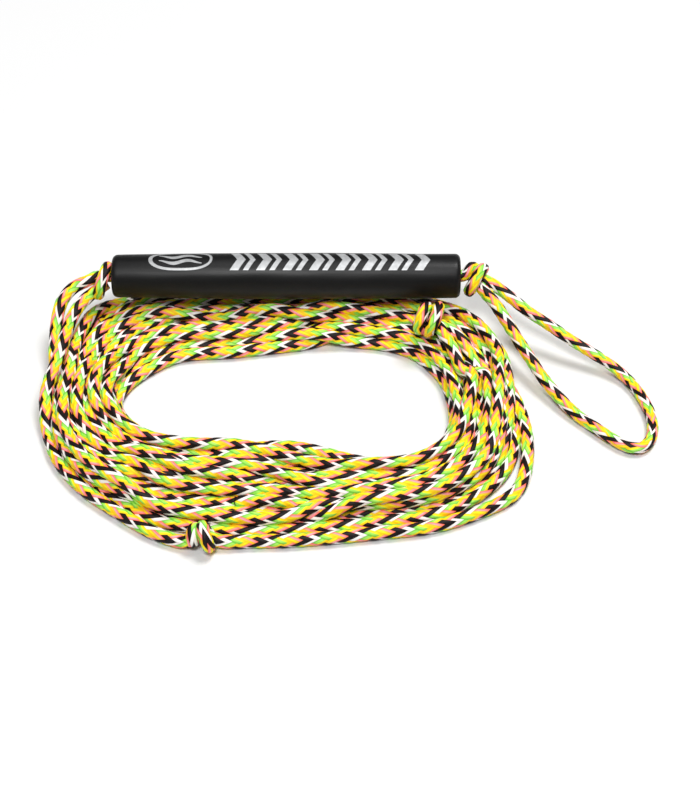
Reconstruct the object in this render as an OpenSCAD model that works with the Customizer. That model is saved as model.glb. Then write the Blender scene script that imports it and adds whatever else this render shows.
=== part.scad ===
// Tow rope handle: a foam-covered tube handle threaded on one braided rope, with a stopper knot at
// each end, a tow loop on the right and the rest of the rope laid in an open oval coil.
// The origin is the middle of the handle, +X runs along it towards the tow loop, and +Z is up.
// The coil lies on the plane z = floor_z.

/* [Handle] */
// Length of the foam sleeve
grip_length = 300; // [290:1:302]
// Diameter of the sleeve at its middle
grip_mid_d = 40; // [38:0.5:41]
// Diameter of the sleeve near its ends
grip_end_d = 37.6; // [34:0.2:38]
// Radius of the sleeve's rounded end edges
grip_edge_r = 4; // [2:0.5:6]
// Outer diameter of the stiff core tube, which is also the sleeve's bore
core_od = 20; // [19.6:0.2:22]
// Wall thickness of the core tube
core_wall = 2; // [1.5:0.1:2]

/* [End bushes] */
// Length of a bush inside the tube
bush_depth = 16; // [8:1:30]
// Thickness of a bush's flange
bush_flange = 1.6; // [1:0.1:2.4]
// Diameter of the bush's bore, which clears the rope
bush_bore_d = 12; // [11.8:0.1:12.4]
// Running gap between a bush and the tube
run_gap = 0.4; // [0.3:0.1:0.5]

/* [Rope] */
// Diameter of the braided rope
rope_d = 11; // [9:0.5:11.2]
// Travel of the handle along the rope, between the knots
slide_travel = 2.5; // [1:0.5:4]
// Clearance left between the handle and a knot at the end of the travel
knot_gap = 0.5; // [0.3:0.1:1]

/* [Coil] */
// Half of the coil's length along X
coil_half_x = 191; // [190:1:200]
// Half of the coil's depth along Y
coil_half_y = 138; // [134:1:142]
// Half of the open middle's length along X
hole_half_x = 137; // [120:1:145]
// Half of the open middle's depth along Y
hole_half_y = 60; // [50:1:68]
// Height of the coil
coil_h = 29.5; // [22:0.5:30]
// Place of the coil's middle along Y
coil_y = -110; // [-114:1:-106]

/* [Hidden] */

floor_z = -50;
eps = 0.01;
half_grip = grip_length / 2;
core_id = core_od - 2 * core_wall;
core_half = half_grip - bush_flange - run_gap;
rope_sides = 10;
lie_z = floor_z + rope_d / 2;

// Knots: centre and half sizes along X, Y and Z
left_knot_r = [8, 11, 12.5];
right_knot_r = [10, 12, 13];
line_end_knot_r = [13, 9, 12];
coil_knot_r = [12, 12, 11];
left_knot_at = [-half_grip - knot_gap - left_knot_r[0], -2, -2];
right_knot_at = [half_grip + slide_travel + knot_gap + right_knot_r[0], -1, -1];
line_end_knot_at = [-58, -265, floor_z + line_end_knot_r[2]];
coil_knot_at = [125, -42, -15];

// Route of the tow loop: out of the right knot, down to the floor, round and back into the knot
tow_loop_route = [
    [169, -2, -2], [189, -15, -7], [207, -28, -15], [226, -39, -22], [243, -50, -28],
    [261, -60, -34], [279, -71, -40], [292, -84, lie_z], [301, -104, lie_z], [306, -124, lie_z],
    [306, -142, lie_z], [302, -155, lie_z], [294, -163, lie_z], [284, -162, lie_z],
    [272, -153, lie_z], [260, -141, lie_z], [248, -129, lie_z], [237, -116, -43], [227, -102, -40],
    [217, -87, -36], [209, -73, -31], [199, -56, -25], [189, -38, -18], [179, -22, -11],
    [169, -10, -6]
];

// Route of the line from the left knot down to the coil
left_lead_route = [
    [-162, -5, 0], [-172, -6, -1], [-180, -7, -4], [-188, -12, -8], [-194, -21, -13],
    [-197, -32, -21], [-198, -45, -29], [-198, -59, -36], [-196, -74, -42], [-193, -90, lie_z]
];

// Route of the rope's second strand from the left knot, over the line and round the coil's left edge
tail_lead_route = [
    [-162, -8, -9], [-171, -13, -12], [-180, -26, -15], [-186, -45, -18], [-189, -66, -20],
    [-192, -84, -22], [-196, -98, -26], [-199, -111, -32], [-199, -124, -38], [-197, -138, -43],
    [-193, -152, lie_z], [-187, -169, lie_z], [-179, -184, lie_z], [-169, -198, lie_z],
    [-156, -212, lie_z], [-142, -224, lie_z], [-128, -235, lie_z], [-115, -245, lie_z],
    [-102, -254, lie_z], [-90, -260, lie_z], [-80, -264, lie_z], [-69, -266, -42]
];

// Route of the loose outer turn, from the coil's right side round its front edge to the knot
outer_turn_route = [
    [170, -58, lie_z], [179, -72, lie_z], [187, -88, lie_z], [193, -103, lie_z], [197, -119, lie_z],
    [200, -137, lie_z], [201, -158, lie_z], [199, -180, lie_z], [195, -198, lie_z],
    [189, -211, lie_z], [179, -221, lie_z], [166, -229, lie_z], [150, -237, lie_z],
    [134, -244, lie_z], [118, -249, lie_z], [102, -252, lie_z], [71, -256, lie_z],
    [39, -260, lie_z], [8, -263, lie_z], [-24, -264, lie_z], [-48, -265, -43]
];

function unit(v) = v / norm(v);
function heading(p, i) = unit(p[min(i + 1, len(p) - 1)] - p[max(i - 1, 0)]);
function ring(at, along, r) =
    let (side = unit(cross([0, 0, 1], along)), top = cross(along, side))
    [for (k = [0:rope_sides - 1])
        at + r * (cos(360 * k / rope_sides) * side + sin(360 * k / rope_sides) * top)];

// Closed round tube through the points of a route, with a ring at each point
module rope_tube(route) {
    n = len(route);
    rings = [for (i = [0:n - 1]) each ring(route[i], heading(route, i), rope_d / 2)];
    walls = [for (i = [0:n - 2], k = [0:rope_sides - 1])
        let (a = i * rope_sides + k, b = i * rope_sides + (k + 1) % rope_sides)
        each [[a, a + rope_sides, b], [b, a + rope_sides, b + rope_sides]]];
    caps = [[for (k = [0:rope_sides - 1]) k], [for (k = [rope_sides - 1:-1:0]) (n - 1) * rope_sides + k]];
    polyhedron(points = rings, faces = concat(walls, caps), convexity = 6);
}

// Knot as a plain rounded lump
module knot_lump(at, half) {
    translate(at)
        scale(half)
            sphere(r = 1, $fn = 20);
}

// Stadium: a rectangle with half-round ends, given by its half sizes
module stadium(half_x, half_y) {
    for (side = [-1, 1])
        translate([side * (half_x - half_y), 0])
            circle(r = half_y, $fn = 96);
    square([2 * (half_x - half_y), 2 * half_y], center = true);
}

// Solid of revolution about X, from a profile of [x, radius] points
module lathe_x(profile) {
    rotate([90, 0, 90])
        rotate_extrude($fn = 96)
            polygon([for (p = profile) [p[1], p[0]]]);
}

function sleeve_radius(x) =
    let (t = x / half_grip) grip_end_d / 2 + (grip_mid_d - grip_end_d) / 2 * (1 - t * t);
function rounded_edge(side) =
    [for (a = [0:22.5:90])
        let (turn = side > 0 ? 90 - a : a)
        [side * (half_grip - grip_edge_r * (1 - cos(turn))),
            grip_end_d / 2 - grip_edge_r * (1 - sin(turn))]];

module foam_grip() {
    crown_end = half_grip - 2 * grip_edge_r;
    crown = [for (i = [-5:5]) let (x = crown_end * i / 5) [x, sleeve_radius(x)]];
    color("black")
        lathe_x(concat([[-half_grip, core_od / 2]], rounded_edge(-1), crown, rounded_edge(1),
            [[half_grip, core_od / 2]]));
}

module core_tube() {
    color("dimgray")
        rotate([0, 90, 0])
            difference() {
                cylinder(d = core_od, h = 2 * core_half, center = true, $fn = 96);
                cylinder(d = core_id, h = 2 * core_half + 2 * eps, center = true, $fn = 96);
            }
}

// Flanged bush that lines the tube's end and guides the rope; side is -1 left, 1 right
module end_bush(side) {
    outer_d = core_id - 2 * run_gap;
    flange_d = core_od - 2 * run_gap;
    color("#202022")
        rotate([0, 90 * side, 0])
            translate([0, 0, half_grip])
                difference() {
                    union() {
                        translate([0, 0, -bush_flange])
                            cylinder(d = flange_d, h = bush_flange, $fn = 96);
                        translate([0, 0, -bush_depth])
                            cylinder(d = outer_d, h = bush_depth - bush_flange + eps, $fn = 96);
                    }
                    translate([0, 0, -bush_depth - 1])
                        cylinder(d = bush_bore_d, h = bush_depth + 2, $fn = 96);
                }
}

module left_end_bush() {
    end_bush(-1);
}

module right_end_bush() {
    end_bush(1);
}

// The stretch of rope inside the handle, from knot to knot
module grip_rope() {
    from_x = left_knot_at[0] + left_knot_r[0] / 2;
    to_x = right_knot_at[0] - right_knot_r[0] / 2;
    color("yellow")
        translate([from_x, 0, 0])
            rotate([0, 90, 0])
                cylinder(d = rope_d, h = to_x - from_x, $fn = 48);
}

module left_knot() {
    color("yellowgreen") knot_lump(left_knot_at, left_knot_r);
}

module right_knot() {
    color("yellowgreen") knot_lump(right_knot_at, right_knot_r);
}

module tow_loop() {
    color("lightgreen") rope_tube(tow_loop_route);
}

module left_lead() {
    color("lightpink") rope_tube(left_lead_route);
}

module tail_lead() {
    color("palegreen") rope_tube(tail_lead_route);
}

// Outer shape of the turns that lie together, with a flat bottom
module rope_coil() {
    color("khaki")
        translate([0, coil_y, floor_z])
            linear_extrude(coil_h)
                difference() {
                    stadium(coil_half_x, coil_half_y);
                    stadium(hole_half_x, hole_half_y);
                }
}

module outer_turn() {
    color("lightpink") rope_tube(outer_turn_route);
}

module line_end_knot() {
    color("yellowgreen") knot_lump(line_end_knot_at, line_end_knot_r);
}

module coil_knot() {
    color("yellowgreen") knot_lump(coil_knot_at, coil_knot_r);
}

foam_grip();
core_tube();
left_end_bush();
right_end_bush();
grip_rope();
left_knot();
right_knot();
tow_loop();
left_lead();
tail_lead();
rope_coil();
outer_turn();
line_end_knot();
coil_knot();
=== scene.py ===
"""Tow rope handle: a foam grip on a braided tow rope, with the rest of the line coiled on the floor."""

import math

import bpy
import numpy as np
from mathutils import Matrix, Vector


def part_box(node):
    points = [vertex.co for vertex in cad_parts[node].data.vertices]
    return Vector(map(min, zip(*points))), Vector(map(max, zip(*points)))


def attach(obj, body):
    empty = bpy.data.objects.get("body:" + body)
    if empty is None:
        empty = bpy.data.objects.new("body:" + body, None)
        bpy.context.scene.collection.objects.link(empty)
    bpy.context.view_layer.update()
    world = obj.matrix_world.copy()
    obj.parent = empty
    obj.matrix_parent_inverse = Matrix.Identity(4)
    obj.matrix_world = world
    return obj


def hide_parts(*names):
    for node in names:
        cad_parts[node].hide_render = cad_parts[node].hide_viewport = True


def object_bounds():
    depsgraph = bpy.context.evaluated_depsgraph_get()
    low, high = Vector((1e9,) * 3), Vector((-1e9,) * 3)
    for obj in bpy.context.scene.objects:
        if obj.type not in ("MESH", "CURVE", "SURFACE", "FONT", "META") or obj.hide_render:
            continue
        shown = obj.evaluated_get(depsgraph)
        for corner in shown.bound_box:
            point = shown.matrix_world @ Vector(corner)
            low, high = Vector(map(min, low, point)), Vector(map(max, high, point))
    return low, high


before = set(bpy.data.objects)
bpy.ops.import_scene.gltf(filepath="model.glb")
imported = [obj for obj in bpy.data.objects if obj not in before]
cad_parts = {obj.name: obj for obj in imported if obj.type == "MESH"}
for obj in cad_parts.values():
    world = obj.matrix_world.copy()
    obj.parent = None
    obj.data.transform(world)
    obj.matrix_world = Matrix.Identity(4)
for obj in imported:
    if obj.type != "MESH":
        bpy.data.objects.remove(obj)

cad_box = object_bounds()

TURN = 2 * math.pi

# ---- sizes, in metres, from the frame ----
grip_low, grip_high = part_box("foam_grip")
tube_low, tube_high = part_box("core_tube")
rope_low, rope_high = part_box("grip_rope")
FLOOR_Z = cad_box[0][2]
GRIP_HALF = (grip_high.x - grip_low.x) / 2
GRIP_R = (grip_high.z - grip_low.z) / 2
BORE_R = (tube_high.z - tube_low.z) / 2
ROPE_R = (rope_high.z - rope_low.z) / 2
ROPE_D = 2 * ROPE_R
LIE_Z = FLOOR_Z + ROPE_R

# ---- the rope's route where it isn't coiled, in metres: the same points as the CAD model's ----
TOW_LOOP = [
    (.169, -.002, -.002), (.189, -.015, -.007), (.207, -.028, -.015), (.226, -.039, -.022),
    (.243, -.050, -.028), (.261, -.060, -.034), (.279, -.071, -.040), (.292, -.084, LIE_Z),
    (.301, -.104, LIE_Z), (.306, -.124, LIE_Z), (.306, -.142, LIE_Z), (.302, -.155, LIE_Z),
    (.294, -.163, LIE_Z), (.284, -.162, LIE_Z), (.272, -.153, LIE_Z), (.260, -.141, LIE_Z),
    (.248, -.129, LIE_Z), (.237, -.116, -.043), (.227, -.102, -.040), (.217, -.087, -.036),
    (.209, -.073, -.031), (.199, -.056, -.025), (.189, -.038, -.018), (.179, -.022, -.011),
    (.169, -.010, -.006),
]
LEFT_LEAD = [
    (-.162, -.005, .000), (-.172, -.006, -.001), (-.180, -.007, -.004), (-.188, -.012, -.008),
    (-.194, -.021, -.013), (-.197, -.032, -.021), (-.198, -.045, -.029), (-.198, -.059, -.036),
    (-.196, -.074, -.042), (-.193, -.090, LIE_Z),
]
TAIL_LEAD = [
    (-.162, -.008, -.009), (-.171, -.013, -.012), (-.180, -.026, -.015), (-.186, -.045, -.018),
    (-.189, -.066, -.020), (-.192, -.084, -.022), (-.196, -.098, -.026), (-.199, -.111, -.032),
    (-.199, -.124, -.038), (-.197, -.138, -.043), (-.193, -.152, LIE_Z), (-.187, -.169, LIE_Z),
    (-.179, -.184, LIE_Z), (-.169, -.198, LIE_Z), (-.156, -.212, LIE_Z), (-.142, -.224, LIE_Z),
    (-.128, -.235, LIE_Z), (-.115, -.245, LIE_Z), (-.102, -.254, LIE_Z), (-.090, -.260, LIE_Z),
    (-.080, -.264, LIE_Z), (-.069, -.266, -.042),
]
OUTER_TURN = [
    (.170, -.058, LIE_Z), (.179, -.072, LIE_Z), (.187, -.088, LIE_Z), (.193, -.103, LIE_Z),
    (.197, -.119, LIE_Z), (.200, -.137, LIE_Z), (.201, -.158, LIE_Z), (.199, -.180, LIE_Z),
    (.195, -.198, LIE_Z), (.189, -.211, LIE_Z), (.179, -.221, LIE_Z), (.166, -.229, LIE_Z),
    (.150, -.237, LIE_Z), (.134, -.244, LIE_Z), (.118, -.249, LIE_Z), (.102, -.252, LIE_Z),
    (.071, -.256, LIE_Z), (.039, -.260, LIE_Z), (.008, -.263, LIE_Z), (-.024, -.264, LIE_Z),
    (-.048, -.265, -.043),
]

# ---- the coil: its inner and outer edge, anticlockwise from the left, in metres ----
COIL_EDGES = np.array([
    ((-.143, -.106), (-.192, -.112)), ((-.134, -.132), (-.188, -.158)), ((-.108, -.155), (-.163, -.200)),
    ((-.066, -.165), (-.112, -.236)), ((-.022, -.165), (-.040, -.252)), ((.022, -.172), (.025, -.250)),
    ((.064, -.187), (.075, -.244)), ((.106, -.184), (.128, -.234)), ((.137, -.158), (.168, -.201)),
    ((.145, -.130), (.188, -.150)), ((.141, -.098), (.193, -.098)), ((.130, -.066), (.186, -.052)),
    ((.101, -.036), (.152, -.008)), ((.056, -.031), (.086, .014)), ((.008, -.039), (.012, .020)),
    ((-.044, -.048), (-.056, .022)), ((-.088, -.051), (-.128, .020)), ((-.123, -.075), (-.178, -.014)),
])
# where each strand lies across the coil at every half turn, 0 at the inner edge and 1 at the outer
LINE_ACROSS = [1.00, .85, .52, .36, .02, .00, .38, .50, .88, .98, .70, .60, .20, .15, .60, .62, .62]
TAIL_ACROSS = [.90, .90, .74, .60, .26, .12, .12, .25, .62, .74, 1.00, .85, .45, .38, .32, .45, .45]
LINE_TURNS = (0.012, 7.58)
TAIL_TURNS = (0.635, 7.56)


# ---------------------------------------------------------------- camera

def make_camera():
    """At the photograph's angle: straight on to the grip, 45 degrees above it."""
    data = bpy.data.cameras.new("camera")
    data.lens = 88.5
    data.sensor_width = 36
    data.clip_end = 50
    camera = bpy.data.objects.new("camera", data)
    camera.location = (.0549, -1.2779, 1.1263)
    camera.rotation_euler = (math.radians(45), 0, 0)
    bpy.context.scene.collection.objects.link(camera)
    bpy.context.scene.camera = camera


# ---------------------------------------------------------------- the rope's line

def through(points, t, closed=False):
    """A smooth curve through points. t counts them: 0 at the first, 1 at the second."""
    n = len(points)
    i = np.floor(t).astype(int)
    f = (t - i)[:, None]

    def at(k):
        return points[k % n] if closed else points[np.clip(k, 0, n - 1)]

    a, b, c, d = at(i - 1), at(i), at(i + 1), at(i + 2)
    return 0.5 * (2*b + (c - a)*f + (2*a - 5*b + 4*c - d)*f**2 + (3*b - a - 3*c + d)*f**3)


def spaced(line, step):
    """The same line with its points an even step apart. Columns past the third go along."""
    s = np.concatenate([[0], np.cumsum(np.linalg.norm(np.diff(line[:, :3], axis=0), axis=1))])
    t = np.linspace(0, s[-1], max(2, round(s[-1] / step)) + 1)
    return np.stack([np.interp(t, s, column) for column in line.T], 1)


def routed(points, step):
    p = np.array(points, float)
    return spaced(through(p, np.linspace(0, len(p) - 1, 12 * len(p))), step)


def softened(line, rounds):
    """The line with its small kinks relaxed."""
    line = line.copy()
    for _ in range(rounds):
        line[1:-1] += 0.25 * (line[:-2] + line[2:] - 2 * line[1:-1])
    return line


def smooth(points, parts=10):
    """A smooth curve through unevenly spaced points, with the same number of parts between each two."""
    p = np.concatenate([2 * points[:1] - points[1:2], points, 2 * points[-1:] - points[-2:-1]])
    d = np.maximum(np.linalg.norm(np.diff(p, axis=0), axis=1), 1e-5)[:, None] ** 0.5
    a, b, c, e = p[:-3], p[1:-2], p[2:-1], p[3:]
    da, db, dc = d[:-2], d[1:-1], d[2:]
    out_b = ((b - a) / da - (c - a) / (da + db) + (c - b) / db) * db
    into_c = ((c - b) / db - (e - b) / (db + dc) + (e - c) / dc) * db
    f = (np.arange(parts) / parts)[None, :, None]
    b, c, out_b, into_c = (q[:, None] for q in (b, c, out_b, into_c))
    curve = b + out_b*f + (3*(c - b) - 2*out_b - into_c)*f**2 + (2*(b - c) + out_b + into_c)*f**3
    return np.concatenate([curve.reshape(-1, 3), points[-1:]])


def knot(centre, points):
    """A knot's route in metres. Its points are millimetres to the right of, above and in front of its centre,
    as the camera sees it."""
    right, up, front = np.array(points, float).T * 0.001
    lean = math.sqrt(0.5)
    return np.array(centre) + np.stack([right, (up - front) * lean, (up + front) * lean], 1)


# ---- the knots' routes, from the rope's end in the right knot onwards ----
RIGHT_KNOT = knot((.1632, -.0018, -.0018), [
    (3, -1, -3), (1, 1, -6), (3, 5, -7), (5.5, 8, -5), (7, 9, 0), (5.5, 8, 6), (2.8, 4, 9.5),
    (-1, -2, 10.5), (-3.5, -7.5, 8.5), (-5, -10.5, 3), (-5, -9.5, -4), (-2, -5, -8), (1, 2, -9),
    (1, 8, -7), (-1.5, 10.5, -2), (-4.5, 9, 2), (-6.8, 5, 1.5), (-9.4, 2.6, 0),
])
LEFT_KNOT = knot((-.1575, -.0025, -.0025), [
    (5, 3.5, -.5), (1.5, 4, -6), (2.2, 9, -5), (3, 12, 0), (2.5, 9, 6), (.5, 3, 9.5), (-1.5, -4, 10),
    (-3.5, -10, 7), (-5, -13, 1), (-5, -10, -5), (-5, -3, -8), (-4, 3, -6), (-5, 4, 0),
])
COIL_KNOT = knot((.125, -.040, -.014), [
    (6, -5, -3), (2, 1, -7), (4, 8, -6), (6, 11, 0), (5, 8, 6.5), (3, 1, 10), (-1, -7, 8.5), (-3, -11, 2),
    (-4, -9, -4), (-4, -1, -7), (-3.5, 7, -6), (-4.5, 11, 0), (-7, 8, 6.5), (-9.5, 1, 9), (-12, -6, 6),
    (-11, -9, 0), (-8, -6, -5), (-3, -3, -6), (4, -3, -5), (11, -6, -4),
])
LINE_END_KNOT = knot((-.058, -.265, -.038), [
    (5, -2, -4), (1, 2, -7), (-2.5, 8, -2), (-2.5, 8, 3), (-1, 3.5, 8), (.8, -2, 9.5), (2.5, -7, 6),
    (3, -8, 1), (1, -5, -4), (-3, 1, -7), (-7, 6.5, -4), (-9.5, 6.5, 0), (-10.5, 3, 4), (-10, -2, 3.5),
    (-10, -4, 0), (-11, -4, -3),
])

# the beads' spacing, how far a strand wanders as a part of the coil's width, and its climb in a half turn
STEP = 0.008
WANDER = 0.028
CLIMB = 0.0016


def coil_line(across, turns, seed, start):
    """One strand's turns before they are dropped onto the floor, and the coil's two edges beside each point.
    The strand wanders a little across the coil, and climbs with each half turn from a start in half turns."""
    t = np.arange(turns[0], turns[1], 0.004)
    rng = np.random.default_rng(seed)
    u = through(np.array(across, float)[:, None], t * 2)[:, 0]
    for k in range(1, 5):
        u = u + WANDER / math.sqrt(k) * np.sin(TURN * (t * (k * 0.9 + 0.37) + rng.random()))
    edge = through(COIL_EDGES.reshape(len(COIL_EDGES), 4), (t % 1) * len(COIL_EDGES), True)
    xy = edge[:, :2] * (1 - u[:, None]) + edge[:, 2:] * u[:, None]
    z = LIE_Z + CLIMB * (2 * (t - turns[0]) + start)
    return spaced(np.concatenate([xy, z[:, None], edge], 1), STEP)


# how the strands are dropped: rounds, the fall and the pull home in each, stiffness, and how beads stay apart
ROUNDS = 700
LATE_FROM = 0.8
FALL, LATE_FALL = 0.0005, 0.0003
PULL, LATE_PULL = 0.03, 0.015
BEND = 0.12
APART = 0.0107
NEARBY = 0.006
PUSH = 1.3


def settle(lines, held):
    """Drops the strands onto the floor and each other: a chain of beads for each, which keeps its length,
    resists bending, stays a rope's width from the others and between the coil's edges. Held beads don't move.
    The beads fall and are pulled home by a part of the way each round, and by less in the late rounds."""
    rows = np.concatenate(lines)
    p, inner, outer = rows[:, :3].copy(), rows[:, 3:5], rows[:, 5:7]
    width = np.linalg.norm(outer - inner, axis=1)
    across = (outer - inner) / np.maximum(width, 1e-6)[:, None]
    home = p[:, :2].copy()
    held = np.concatenate(held)
    first = p.copy()
    chain = np.concatenate([np.full(len(line), i) for i, line in enumerate(lines)])
    index = np.arange(len(p))
    free = np.where(held, 0.0, 1.0)
    link = index[:-1][chain[:-1] == chain[1:]]
    rest = np.linalg.norm(p[link + 1, :2] - p[link, :2], axis=1)
    mid = index[1:-1][(chain[:-2] == chain[1:-1]) & (chain[1:-1] == chain[2:])]
    own_bend = np.zeros((len(mid), 3))
    own_bend[:, :2] = home[mid - 1] + home[mid + 1] - 2 * home[mid]
    clear = GRIP_R + ROPE_R + 0.0003
    for it in range(ROUNDS):
        late = it > ROUNDS * LATE_FROM
        p[:, 2] -= (LATE_FALL if late else FALL) * free
        p[:, :2] += (LATE_PULL if late else PULL) * (home - p[:, :2]) * free[:, None]
        if it % 8 == 0:
            # the pairs of beads close enough to touch within the next eight rounds
            gap = (p * p).sum(1)[:, None] + (p * p).sum(1)[None] - 2 * p @ p.T
            near = gap < (APART + NEARBY) ** 2
            near &= ~((np.abs(index[:, None] - index[None]) < 4) & (chain[:, None] == chain[None]))
            a, b = np.nonzero(np.triu(near))
        for _ in range(3):
            bend = BEND * (p[mid - 1] + p[mid + 1] - 2 * p[mid] - own_bend)
            p[mid] += bend * free[mid, None]
            p[mid - 1] -= 0.5 * bend * free[mid - 1, None]
            p[mid + 1] -= 0.5 * bend * free[mid + 1, None]
            for half in (0, 1):
                i, r = link[half::2], rest[half::2]
                d = p[i + 1] - p[i]
                size = np.linalg.norm(d, axis=1)
                total = np.maximum(free[i] + free[i + 1], 1)
                d *= ((size - r) / np.maximum(size, 1e-6))[:, None]
                p[i] += 0.5 * d * (free[i] / total)[:, None]
                p[i + 1] -= 0.5 * d * (free[i + 1] / total)[:, None]
            d = p[b] - p[a]
            size = np.linalg.norm(d, axis=1)
            hit = size < APART
            i, j, d, size = a[hit], b[hit], d[hit], size[hit]
            d *= ((APART - size) / np.maximum(size, 1e-6))[:, None]
            total = np.maximum(free[i] + free[j], 1)
            move, count = np.zeros_like(p), np.zeros(len(p))
            np.add.at(move, i, -d * (free[i] / total)[:, None])
            np.add.at(move, j, d * (free[j] / total)[:, None])
            np.add.at(count, i, 1)
            np.add.at(count, j, 1)
            p += move / np.maximum(count, 1)[:, None] * PUSH
            # beads that lie on others keep in from the edges, more so from the outer one
            place = ((p[:, :2] - inner) * across).sum(1)
            rise = p[:, 2] - LIE_Z
            p[:, :2] += ((np.clip(place, 0.25 * rise, width - 0.55 * rise) - place) * free)[:, None] * across
            # none comes up into the grip, or down into the floor
            under = (np.abs(p[:, 0]) < GRIP_HALF) & (np.abs(p[:, 1]) < clear) & (free > 0)
            roof = -np.sqrt(np.maximum(clear**2 - p[:, 1] ** 2, 0))
            p[:, 2] = np.where(under, np.minimum(p[:, 2], roof), p[:, 2])
            p[:, 2] = np.where(free > 0, np.maximum(p[:, 2], LIE_Z), p[:, 2])
        p[held] = first[held]
    out, k = [], 0
    for line in lines:
        out.append(p[k:k + len(line)])
        k += len(line)
    return out


def lay_rope():
    """The coiled part of both strands, from where the leads reach the floor to the knot in the coil."""
    def fixed(points):
        return np.pad(routed(points, STEP), ((0, 0), (0, 4)))

    lead, tail, turn = fixed(LEFT_LEAD), fixed(TAIL_LEAD), fixed(OUTER_TURN[::-1])
    line_up = fixed([(.150, -.096, -.032), (.146, -.078, -.026), (.141, -.063, -.021), (.135, -.052, -.020)])
    tail_up = fixed([(.164, -.090, -.034), (.159, -.072, -.028), (.151, -.058, -.022), (.142, -.047, -.020)])
    lumps = [fixed(COIL_KNOT), fixed(LINE_END_KNOT)]
    line = [lead, coil_line(LINE_ACROSS, LINE_TURNS, 3, 0), line_up]
    other = [tail, turn, coil_line(TAIL_ACROSS, TAIL_TURNS, 5, 0.6), tail_up]
    hold_line = [np.full(len(x), i in (0, 2)) for i, x in enumerate(line)]
    hold_other = [np.full(len(x), i in (0, 1, 3)) for i, x in enumerate(other)]
    a, b, *_ = settle(
        [np.concatenate(line), np.concatenate(other), *lumps],
        [np.concatenate(hold_line), np.concatenate(hold_other), *(np.full(len(x), True) for x in lumps)],
    )
    return a[len(lead):, :3], b[len(tail) + len(turn):, :3]


def whole_line():
    """The rope from its end in the right knot to its end in the left one, the length up to each point of it,
    and the length up to each named place."""
    line_coil, tail_coil = lay_rope()
    parts = [
        ("start", [(.158, -.004, -.003)]),
        ("loop", TOW_LOOP),
        ("right_knot", RIGHT_KNOT),
        ("grip", [(.146, 0, 0), (.05, 0, 0), (-.05, 0, 0), (-.148, 0, 0)]),
        ("left_knot", LEFT_KNOT),
        ("lead", LEFT_LEAD[1:]),
        ("coil", softened(line_coil, 2)),
        ("coil_knot", COIL_KNOT),
        ("tail_coil", softened(tail_coil[::-1], 2)),
        ("outer", OUTER_TURN),
        ("line_end_knot", LINE_END_KNOT),
        ("tail_lead", TAIL_LEAD[:0:-1]),
        ("end", [(-.160, -.007, -.007), (-.156, -.004, -.005)]),
    ]
    fine = smooth(np.concatenate([np.array(p, float) for _, p in parts]))
    length = np.concatenate([[0], np.cumsum(np.linalg.norm(np.diff(fine, axis=0), axis=1))])
    marks, at = {}, 0
    for name, p in parts:
        marks[name] = length[10 * at]
        at += len(p)
    marks["stop"] = length[-1]
    return fine, length, marks


# ---------------------------------------------------------------- the braid

# the braid's pitch, the rings of corners along it, and the corners in a ring
PITCH = 6.9 * ROPE_D
RINGS = 64
SIDES = 32
RING_STEP = PITCH / RINGS
WHITE, GREEN, YELLOW, ORANGE, PINK, BLACK = range(6)
# the yarns of each strand that runs one way round, a mesh cell wide each, in order
ONE_WAY = [
    [BLACK, BLACK, BLACK, BLACK],
    [WHITE, WHITE, WHITE],
    [GREEN, GREEN, GREEN, YELLOW, YELLOW],
    [YELLOW, ORANGE, PINK, PINK],
    [BLACK, BLACK, BLACK, BLACK],
    [WHITE, WHITE],
    [GREEN, GREEN, GREEN, YELLOW, YELLOW],
    [YELLOW, YELLOW, ORANGE, PINK, PINK],
]
# those that run the other way mirror them, so that the colours meet in arrowheads
OTHER_WAY = [ONE_WAY[-k][::-1] for k in range(8)]


def strand_at(strands, cell):
    """The number of the strand at a place across all of them, how far across it, and the yarn there."""
    lap, cell = divmod(cell, SIDES)
    for k, yarns in enumerate(strands):
        if cell < len(yarns) or k == len(strands) - 1:
            return int(lap) * len(strands) + k, cell / len(yarns), yarns[min(int(cell), len(yarns) - 1)]
        cell -= len(yarns)


def braid_cell(u, v):
    """The strand on top at (u, v) of the unrolled braid: its yarn there, its number, and the place across and
    along it. Each strand goes over two and under two, and a stretch on top runs from 0 to 2 along."""
    k, a, one = strand_at(ONE_WAY, u)
    m, b, other = strand_at(OTHER_WAY, v)
    if (k + m) % 4 < 2:
        return one, k % 8, a, m + b + k
    return other, 8 + m % 8, b, k + a + m - 2


def braid_pattern():
    """Tables over one pitch: each corner's height, each face's colour and its corners' places on a strand."""
    height = np.zeros((RINGS, SIDES))
    colour = np.zeros((RINGS, SIDES), int)
    lay = np.zeros((RINGS, SIDES, 4, 3))
    # how far in from a corner a face is read, so that it stays on its own strand
    e = 0.02
    for i in range(RINGS):
        for j in range(SIDES):
            around = j + 0.5 * (i % 2)
            u, v = around - SIDES * i / RINGS, around + SIDES * i / RINGS
            for a in (-e, e):
                for b in (-e, e):
                    _, _, across, along = braid_cell(u + a, v + b)
                    arch = math.sin(math.pi / 2 * (along % 4))
                    height[i, j] += 0.25 * (0.45 * arch + 0.55 * math.sin(math.pi * across))
            colour[i, j], number, _, _ = braid_cell(u - .5, v + .5)
            for n, (du, dv) in enumerate(((-e, e), (-e, 1 - e), (e - 1, 1 - e), (e - 1, e))):
                _, _, x, y = braid_cell(u + du, v + dv)
                lay[i, j, n] = x, y, number
    return height, colour, lay


def frames_along(line):
    """Two sideways directions at each point, carried along without twist."""
    t = np.gradient(line, axis=0)
    t /= np.linalg.norm(t, axis=1)[:, None]
    side = np.cross(t[0], (0, 0, 1.0))
    side /= np.linalg.norm(side)
    out = np.zeros_like(line)
    for i in range(len(line)):
        side = side - t[i] * side.dot(t[i])
        side = side / np.linalg.norm(side)
        out[i] = side
    return out, np.cross(t, out)


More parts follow.
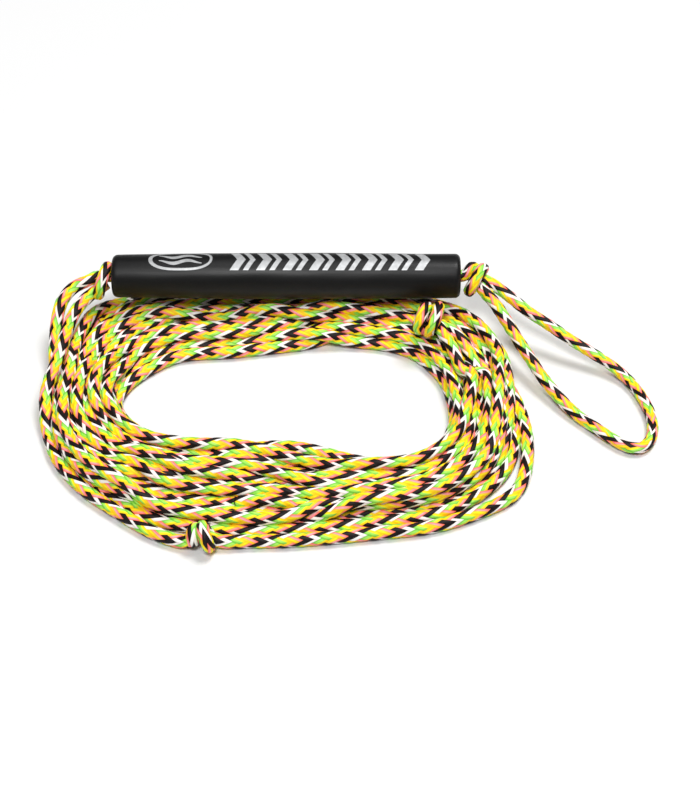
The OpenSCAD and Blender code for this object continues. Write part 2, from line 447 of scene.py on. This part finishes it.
def braided_piece(name, centres, side, up, first, radius, tables, materials):
    """A stretch of the rope as a mesh of its 16 strands, on a lattice that runs with them. The pattern's ring
    for its first point is the one numbered first."""
    height, colour, lay = tables
    n = len(centres)
    ring = first + np.arange(n)
    odd = (ring % 2)[:, None]
    angle = TURN * (np.arange(SIDES)[None] + 0.5 * odd) / SIDES
    # the strands bulge out to about the rope's radius, and dip to nine tenths of it
    r = radius[:, None] * (0.895 + 0.13 * height[ring % RINGS])
    spokes = np.cos(angle)[..., None] * side[:, None] + np.sin(angle)[..., None] * up[:, None]
    co = (centres[:, None] + r[..., None] * spokes).reshape(-1, 3)
    i, j = np.meshgrid(np.arange(n - 2), np.arange(SIDES), indexing="ij")
    shift = (first + i) % 2
    right = (j + shift) % SIDES
    left = (j + shift - 1) % SIDES
    corners = [i * SIDES + j, (i + 1) * SIDES + right, (i + 2) * SIDES + j, (i + 1) * SIDES + left]
    quads = np.stack(corners, -1).reshape(-1, 4)
    looks = colour[(first + i) % RINGS, j].reshape(-1)
    place = lay[(first + i) % RINGS, j].reshape(-1, 4, 3).copy()
    # the place along a strand goes on from one pitch to the next
    place[..., 1] += (8 * ((first + i) // RINGS)).reshape(-1, 1)

    ends = np.stack([centres[0] - (centres[1] - centres[0]), centres[-1] + (centres[-1] - centres[-2])])
    co = np.concatenate([co, ends])
    k = np.arange(SIDES)
    low, high = first % 2, (first + n - 1) % 2
    last = (n - 1) * SIDES
    caps = [
        np.stack([k, (k + 1) % SIDES, SIDES + (k + low) % SIDES], -1),
        np.stack([(k + 1) % SIDES, k, np.full(SIDES, n * SIDES)], -1),
        np.stack([last + (k + 1) % SIDES, last + k, last - SIDES + (k + high) % SIDES], -1),
        np.stack([last + k, last + (k + 1) % SIDES, np.full(SIDES, n * SIDES + 1)], -1),
    ]
    caps = np.concatenate(caps)
    looks = np.concatenate([looks, np.full(len(caps), BLACK)])
    place = np.concatenate([place.ravel(), np.zeros(caps.size * 3)])

    mesh = bpy.data.meshes.new(name)
    mesh.vertices.add(len(co))
    mesh.vertices.foreach_set("co", co.astype(np.float32).ravel())
    mesh.loops.add(quads.size + caps.size)
    mesh.loops.foreach_set("vertex_index", np.concatenate([quads.ravel(), caps.ravel()]).astype(np.int32))
    starts = np.concatenate([np.arange(len(quads)) * 4, quads.size + np.arange(len(caps)) * 3])
    mesh.polygons.add(len(quads) + len(caps))
    mesh.polygons.foreach_set("loop_start", starts.astype(np.int32))
    mesh.polygons.foreach_set("material_index", looks.astype(np.int32))
    mesh.polygons.foreach_set("use_smooth", np.ones(len(starts), bool))
    attribute = mesh.attributes.new("lay", "FLOAT_VECTOR", "CORNER")
    attribute.data.foreach_set("vector", place.astype(np.float32))
    for material in materials:
        mesh.materials.append(material)
    mesh.update(calc_edges=True)
    mesh.validate()
    piece = bpy.data.objects.new(name, mesh)
    bpy.context.scene.collection.objects.link(piece)
    return piece


# ---------------------------------------------------------------- materials

def principled(name, colour, roughness, **constants):
    """A material with its constants set on the shader's own sockets."""
    m = bpy.data.materials.new(name)
    m.use_nodes = True
    shader = m.node_tree.nodes["Principled BSDF"]
    shader.inputs["Base Color"].default_value = (*colour, 1)
    shader.inputs["Roughness"].default_value = roughness
    for socket, value in constants.items():
        shader.inputs[socket.replace("_", " ")].default_value = value
    return m, m.node_tree.nodes, m.node_tree.links, shader


def math_node(nodes, links, operation, *values, clamp=False):
    """A Math node's result, with each value a number or a socket to link."""
    node = nodes.new("ShaderNodeMath")
    node.operation = operation
    node.use_clamp = clamp
    for k, value in enumerate(values):
        if isinstance(value, (int, float)):
            node.inputs[k].default_value = value
        else:
            links.new(value, node.inputs[k])
    return node.outputs[0]


def object_place(nodes):
    return nodes.new("ShaderNodeTexCoord").outputs["Object"]


def stretched_place(nodes, links, stretch):
    """The place on the piece, scaled by its own number in each direction."""
    run = nodes.new("ShaderNodeMapping")
    run.inputs["Scale"].default_value = stretch
    links.new(object_place(nodes), run.inputs["Vector"])
    return run.outputs[0]


def noise_at(nodes, links, place, scale, detail):
    """A Noise texture's value at a place."""
    noise = nodes.new("ShaderNodeTexNoise")
    noise.inputs["Scale"].default_value = scale
    noise.inputs["Detail"].default_value = detail
    links.new(place, noise.inputs["Vector"])
    return noise.outputs["Fac"]


def tint(nodes, links, shader, factor, low, high):
    """Gives the shader a colour between low and high."""
    mix = nodes.new("ShaderNodeMix")
    mix.data_type = "RGBA"
    mix.inputs[6].default_value = (*low, 1)
    mix.inputs[7].default_value = (*high, 1)
    links.new(factor, mix.inputs[0])
    links.new(mix.outputs[2], shader.inputs["Base Color"])


def roughen(nodes, links, shader, factor, low, high, start=0, stop=1):
    """Gives the shader a roughness from low to high as the factor goes from start to stop."""
    rough = nodes.new("ShaderNodeMapRange")
    rough.inputs["From Min"].default_value = start
    rough.inputs["From Max"].default_value = stop
    rough.inputs["To Min"].default_value = low
    rough.inputs["To Max"].default_value = high
    links.new(factor, rough.inputs["Value"])
    links.new(rough.outputs[0], shader.inputs["Roughness"])


def bumped(nodes, links, shader, *layers):
    """Gives the shader relief in layers of (height, strength, distance)."""
    below = None
    for height, strength, distance in layers:
        bump = nodes.new("ShaderNodeBump")
        bump.inputs["Strength"].default_value = strength
        bump.inputs["Distance"].default_value = distance
        links.new(height, bump.inputs["Height"])
        if below is not None:
            links.new(below, bump.inputs["Normal"])
        below = bump.outputs[0]
    links.new(below, shader.inputs["Normal"])


def strand_material(name, colour, painted_shade_and_dye_tone):
    """One colour of the rope's yarn: filaments along the strand, and a darker second colour towards its edges
    and where it dips under, which is painted shade, broken up by noise that stands for random dye tone.
    """
    m, nodes, links, shader = principled(name, colour, 0.55, Specular_IOR_Level=0.2)
    place = nodes.new("ShaderNodeAttribute")
    place.attribute_name = "lay"
    split = nodes.new("ShaderNodeSeparateXYZ")
    links.new(place.outputs["Vector"], split.inputs[0])
    spread = nodes.new("ShaderNodeVectorMath")
    spread.operation = "MULTIPLY"
    spread.inputs[1].default_value = (9, 0.7, 5)
    links.new(place.outputs["Vector"], spread.inputs[0])
    filaments = noise_at(nodes, links, spread.outputs[0], 1, 3)
    patches = noise_at(nodes, links, object_place(nodes), 120, 2)
    # both are 1 on the middle of a strand's stretch on top, and less towards its edges and where it dips
    # under: there they let in the painted shade
    across = math_node(nodes, links, "PINGPONG", split.outputs["X"], 0.5)
    across = math_node(nodes, links, "MULTIPLY", across, 3.4)
    across = math_node(nodes, links, "SMOOTH_MIN", across, 1, 0.3)
    along = math_node(nodes, links, "PINGPONG", split.outputs["Y"], 1)
    along = math_node(nodes, links, "MULTIPLY_ADD", along, 1.6, 0.25)
    along = math_node(nodes, links, "SMOOTH_MIN", along, 1, 0.3)
    top = math_node(nodes, links, "MULTIPLY", across, along)
    fibre = math_node(nodes, links, "MULTIPLY_ADD", filaments, 0.9, 0.50)
    patch = math_node(nodes, links, "MULTIPLY_ADD", patches, 1.3, 0.20)
    mixed = math_node(nodes, links, "MULTIPLY", top, fibre)
    # where this is low the yarn takes its second colour: painted shade at the edges and dips, and random dye
    # tone from the noise
    blend = math_node(nodes, links, "MULTIPLY", mixed, patch, clamp=True)
    tint(nodes, links, shader, blend, painted_shade_and_dye_tone, colour)
    bumped(nodes, links, shader, (filaments, 0.45, 0.0003))
    return m


def rope_materials():
    # each yarn's own colour, then its second colour: painted shade for strand edges and dips, which also
    # serves as random dye tone
    colours = {
        "rope_white": ((.97, .96, .93), (.74, .66, .60)),
        "rope_green": ((.46, .90, .14), (.10, .46, .03)),
        "rope_yellow": ((.94, .92, .012), (.94, .52, .006)),
        "rope_orange": ((.96, .56, .05), (.92, .26, .01)),
        "rope_pink": ((.94, .36, .46), (.90, .13, .05)),
        "rope_black": ((.008, .004, .005), (.003, .001, .001)),
    }
    return [strand_material(name, *pair) for name, pair in colours.items()]


# ---------------------------------------------------------------- the rope

KNOT_THINNER = 0.05
LOOP_THINNER = 0.15
EASE = 0.006


def make_rope():
    """The whole rope in six pieces, each one a cord from its first point to its last."""
    fine, length, marks = whole_line()
    count = round(length[-1] / RING_STEP)
    at = np.arange(count + 1) * RING_STEP
    # the braid is a little tighter in some places than in others
    at += 0.003 * np.sin(19 * at) + 0.004 * np.sin(7.3 * at)
    line = np.stack([np.interp(at, length, fine[:, k]) for k in range(3)], 1)
    line = softened(line, 12)
    side, up = frames_along(line)
    # and it twists a little to and fro
    turn = 0.9 * np.sin(at * 2.1) + 0.6 * np.sin(at * 4.7 + 1) + 1.2
    side, up = (np.cos(turn)[:, None] * side + np.sin(turn)[:, None] * up,
                np.cos(turn)[:, None] * up - np.sin(turn)[:, None] * side)
    radius = np.full(len(line), ROPE_R)
    # pulled tight in each knot, from its mark to the next one, with a short change on either side
    for knot_name, next_name in (
        ("right_knot", "grip"), ("left_knot", "lead"),
        ("coil_knot", "tail_coil"), ("line_end_knot", "tail_lead"),
    ):
        inside = np.clip(np.minimum(at - marks[knot_name], marks[next_name] - at) / EASE + 1, 0, 1)
        radius = np.minimum(radius, ROPE_R * (1 - KNOT_THINNER * inside))
    # and stretched round the tow loop, most in the first half of it
    far = np.clip((at - marks["loop"]) / (marks["right_knot"] - marks["loop"]), 0, 1)
    radius *= 1 - LOOP_THINNER * np.sin(math.pi * (1 - far) ** 1.5) ** 0.7 * (at < marks["right_knot"])
    tables = braid_pattern()
    materials = rope_materials()

    middle = marks["coil"] + (marks["coil_knot"] - marks["coil"]) / 2
    other_middle = marks["tail_coil"] + (marks["outer"] - marks["tail_coil"]) / 2
    join = (marks["coil_knot"] + marks["tail_coil"]) / 2
    pieces = [
        ("tow_rope", 0, marks["coil"], ["tow_loop", "right_knot", "grip_rope", "left_knot", "left_lead"]),
        ("coil_line_1", marks["coil"], middle, ["rope_coil"]),
        ("coil_line_2", middle, join, ["coil_knot"]),
        ("coil_line_3", join, other_middle, []),
        ("coil_line_4", other_middle, marks["outer"], []),
        ("tail_line", marks["outer"], marks["stop"], ["outer_turn", "line_end_knot", "tail_lead"]),
    ]
    for name, a, b, stands_for in pieces:
        i, j = round(a / RING_STEP), min(round(b / RING_STEP), len(line) - 1) + 1
        if b <= join:
            # the braid's arrowheads point on along the rope up to the join, and back after it
            piece = braided_piece(name, line[i:j][::-1], side[i:j][::-1], -up[i:j][::-1], 1 - j,
                                  radius[i:j][::-1], tables, materials)
        else:
            piece = braided_piece(name, line[i:j], side[i:j], up[i:j], i, radius[i:j], tables, materials)
        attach(piece, "rope")
        if stands_for:
            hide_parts(*stands_for)


# ---------------------------------------------------------------- the foam grip

def grip_radius(x):
    """The sleeve's radius along its length: fullest in the middle, a little slimmer to the left."""
    return GRIP_R - 0.0002 - np.where(x < 0, 0.0014, 0.0007) * np.abs(x / GRIP_HALF) ** 2.4


def unevenness(x, a):
    """How far the foam strays from round, at a place along the sleeve and an angle round it."""
    return (0.00012 * np.sin(2 * a + 30 * x) + 0.00010 * np.sin(3 * a - 47 * x + 1)
            + 0.00006 * np.sin(5 * a + 110 * x))


def grid_mesh(name, co, quads, material, smooth=True):
    mesh = bpy.data.meshes.new(name)
    mesh.from_pydata(co.tolist(), [], quads.tolist())
    mesh.polygons.foreach_set("use_smooth", np.full(len(quads), smooth))
    mesh.materials.append(material)
    mesh.validate()
    piece = bpy.data.objects.new(name, mesh)
    bpy.context.scene.collection.objects.link(piece)
    return piece


def make_grip():
    """The sleeve: a slightly uneven tube of foam with rounded ends, closed round the core tube."""
    edge = 0.0042
    lip = 0.0006
    turn = np.linspace(0, math.pi / 2, 9)
    right_r = float(grip_radius(np.array(GRIP_HALF)))
    left_r = float(grip_radius(np.array(-GRIP_HALF)))
    bore = BORE_R + 0.00004
    along = np.linspace(-GRIP_HALF + edge, GRIP_HALF - edge, 150)
    left = [(-GRIP_HALF + edge * (1 - math.sin(a)), left_r - edge + edge * math.cos(a)) for a in turn[:0:-1]]
    right = [(GRIP_HALF - edge * (1 - math.sin(a)), right_r - edge + edge * math.cos(a)) for a in turn[1:]]
    left_face = [(-GRIP_HALF, bore + lip + (left_r - edge - bore - lip) * f) for f in (0, .35, .7)]
    right_face = [(GRIP_HALF, bore + lip + (right_r - edge - bore - lip) * f) for f in (.7, .35, 0)]
    inside = [(x, bore) for x in np.linspace(GRIP_HALF - lip, -GRIP_HALF + lip, 40)]
    profile = np.array(left_face + left + list(zip(along, grip_radius(along))) + right + right_face + inside)
    sides = 96
    a = TURN * np.arange(sides) / sides
    x, r = profile[:, :1], profile[:, 1:]
    # the bore itself stays round
    r = r + np.where(r > bore + lip / 3, unevenness(x, a), 0)
    co = np.stack([np.broadcast_to(x, r.shape), r * np.cos(a), r * np.sin(a)], -1).reshape(-1, 3)
    n = len(profile)
    i, j = np.meshgrid(np.arange(n), np.arange(sides), indexing="ij")
    i2, j2 = (i + 1) % n, (j + 1) % sides
    quads = np.stack([i * sides + j, i * sides + j2, i2 * sides + j2, i2 * sides + j], -1).reshape(-1, 4)
    piece = grid_mesh("foam_sleeve", co, quads, foam_material())
    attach(piece, "grip")
    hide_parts("foam_grip")


def foam_material():
    """Closed-cell foam with a skin: fine cells, faint long drawing marks and a soft sheen."""
    m, nodes, links, shader = principled("foam_black", (.004, .004, .004), 0.42, Specular_IOR_Level=0.24)
    cells = nodes.new("ShaderNodeTexVoronoi")
    cells.inputs["Scale"].default_value = 1500
    links.new(object_place(nodes), cells.inputs["Vector"])
    grain = noise_at(nodes, links, object_place(nodes), 420, 4)
    marks = noise_at(nodes, links, stretched_place(nodes, links, (9, 160, 160)), 1, 3)
    roughen(nodes, links, shader, marks, 0.38, 0.52, start=0.3, stop=0.7)
    tint(nodes, links, shader, grain, (.0016, .0016, .0018), (.0055, .0055, .0058))
    bumped(nodes, links, shader, (grain, 0.25, 0.0002), (cells.outputs["Distance"], 0.30, 0.0001))
    return m


# ---------------------------------------------------------------- the print on the grip

def ribbon(one, other):
    """A flat band between two lines of points, each (x along the grip, distance round it from its top)."""
    f = np.linspace(0, 1, 3)[:, None, None]
    return np.array(one)[None] * (1 - f) + np.array(other)[None] * f


def print_shapes():
    """A ring with waves in it, and a row of arrowheads: a made-up decoration."""
    ring_x = -.0905
    t = np.linspace(0, TURN, 73)
    c, s = np.cos(t), np.sin(t)
    ring = np.stack([np.abs(c) ** 0.7 * np.sign(c), np.abs(s) ** 0.9 * np.sign(s)], 1)
    shapes = [(ring * (.0275, .0120) + (ring_x, 0), ring * (.0247, .0098) + (ring_x + .0006, 0))]
    for wave_y in (-.0034, .0034):
        x = np.linspace(-.0185, .0185, 48)
        y = wave_y + 0.0016 * np.sin(x * 250)
        thick = 0.0019 * np.sin(np.linspace(0.1, math.pi - 0.1, 48)) ** 0.8
        shapes.append((np.stack([x + ring_x, y + thick], 1), np.stack([x + ring_x, y - thick], 1)))
    # each arrowhead is two arms that meet at its tip, and every second one is thinner
    for k in range(15):
        f = np.linspace(0, 1, 14)
        for way in (1, -1):
            one = np.stack([-.048 + .0113 * k + .0062 * (1 - f), -.0013 + way * .0106 * f], 1)
            shapes.append((one, one + ((.0074, .0046)[k % 2], 0)))
    return shapes


def make_print():
    """The print's bands, each a thin solid that lies round the foam and sinks a little way into it."""
    co, quads, at = [], [], 0
    for one, other in print_shapes():
        flat = ribbon(one, other)
        across, n = flat.shape[:2]
        x, s = flat[..., 0], flat[..., 1]
        angle = math.pi / 2 - s / GRIP_R
        for lift in (0.00012, -0.00008):
            r = grip_radius(x) + unevenness(x, angle) + lift
            co.append(np.stack([x, r * np.cos(angle), r * np.sin(angle)], -1).reshape(-1, 3))
        top = at + np.arange(across * n).reshape(across, n)
        a, b = top[:-1, :-1], top[:-1, 1:]
        c, d = top[1:, 1:], top[1:, :-1]
        quads.append(np.stack([a, b, c, d], -1).reshape(-1, 4))
        a, b, c, d = (q + across * n for q in (a, b, c, d))
        quads.append(np.stack([d, c, b, a], -1).reshape(-1, 4))
        rim = np.concatenate([top[0, :-1], top[:-1, -1], top[-1, :0:-1], top[:0:-1, 0]])
        low = rim + across * n
        quads.append(np.stack([np.roll(rim, -1), rim, low, np.roll(low, -1)], -1))
        at += 2 * across * n
    piece = grid_mesh("grip_print", np.concatenate(co), np.concatenate(quads), print_material(), smooth=False)
    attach(piece, "grip")


def print_material():
    """Silver ink on foam: a satin grey that is a little patchy."""
    m, nodes, links, shader = principled("print_silver", (.55, .56, .58), 0.4, Metallic=0.25)
    patches = noise_at(nodes, links, object_place(nodes), 260, 4)
    tint(nodes, links, shader, patches, (.26, .265, .27), (.58, .59, .60))
    bumped(nodes, links, shader, (patches, 0.2, 0.0001))
    return m


# ---------------------------------------------------------------- the core tube and bushes

def worn_material(name, low, high, roughness, scale, stretch):
    """Extruded or moulded plastic: a tint and roughness that vary over a fine grain."""
    m, nodes, links, shader = principled(name, low, roughness)
    grain = noise_at(nodes, links, stretched_place(nodes, links, stretch), scale, 5)
    tint(nodes, links, shader, grain, low, high)
    roughen(nodes, links, shader, grain, roughness - 0.08, roughness + 0.10)
    bumped(nodes, links, shader, (grain, 0.15, 0.0001))
    return m


def dress_cad():
    tube = worn_material("tube_grey", (.09, .09, .092), (.15, .15, .152), 0.5, 300, (1, 20, 20))
    bush = worn_material("bush_black", (.012, .012, .012), (.022, .022, .022), 0.38, 900, (1, 1, 1))
    for node, material in (("core_tube", tube), ("left_end_bush", bush), ("right_end_bush", bush)):
        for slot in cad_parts[node].material_slots:
            slot.material = material


# ---------------------------------------------------------------- studio

def make_floor():
    m, nodes, links, shader = principled("floor_paper", (.72, .72, .72), 0.9)
    noise = nodes.new("ShaderNodeTexNoise")
    noise.inputs["Scale"].default_value = 180
    bump = nodes.new("ShaderNodeBump")
    bump.inputs["Strength"].default_value = 0.02
    links.new(noise.outputs["Fac"], bump.inputs["Height"])
    links.new(bump.outputs[0], shader.inputs["Normal"])
    mesh = bpy.data.meshes.new("floor")
    h = 8
    z = FLOOR_Z - 0.0003
    mesh.from_pydata([(-h, -h, z), (h, -h, z), (h, h, z), (-h, h, z)], [], [(0, 1, 2, 3)])
    mesh.materials.append(m)
    floor = bpy.data.objects.new("floor", mesh)
    bpy.context.scene.collection.objects.link(floor)


def area_light(name, place, aim, size, power):
    data = bpy.data.lights.new(name, "AREA")
    data.shape = "DISK"
    data.size = size
    data.energy = power
    light = bpy.data.objects.new(name, data)
    light.location = place
    light.rotation_euler = (Vector(aim) - Vector(place)).to_track_quat("-Z", "Y").to_euler()
    bpy.context.scene.collection.objects.link(light)


def make_studio():
    make_floor()
    world = bpy.data.worlds.new("studio")
    world.use_nodes = True
    world.node_tree.nodes["Background"].inputs["Color"].default_value = (1, 1, 1, 1)
    world.node_tree.nodes["Background"].inputs["Strength"].default_value = 0.18
    bpy.context.scene.world = world
    area_light("top", (1.9, 1.2, 6.2), (.05, -.1, 0), 2.6, 330)
    area_light("front", (-.5, -3.1, 5.8), (.05, -.1, 0), 2.0, 290)
    bpy.context.scene.view_settings.view_transform = "Standard"


make_camera()
make_rope()
make_grip()
make_print()
dress_cad()
make_studio()
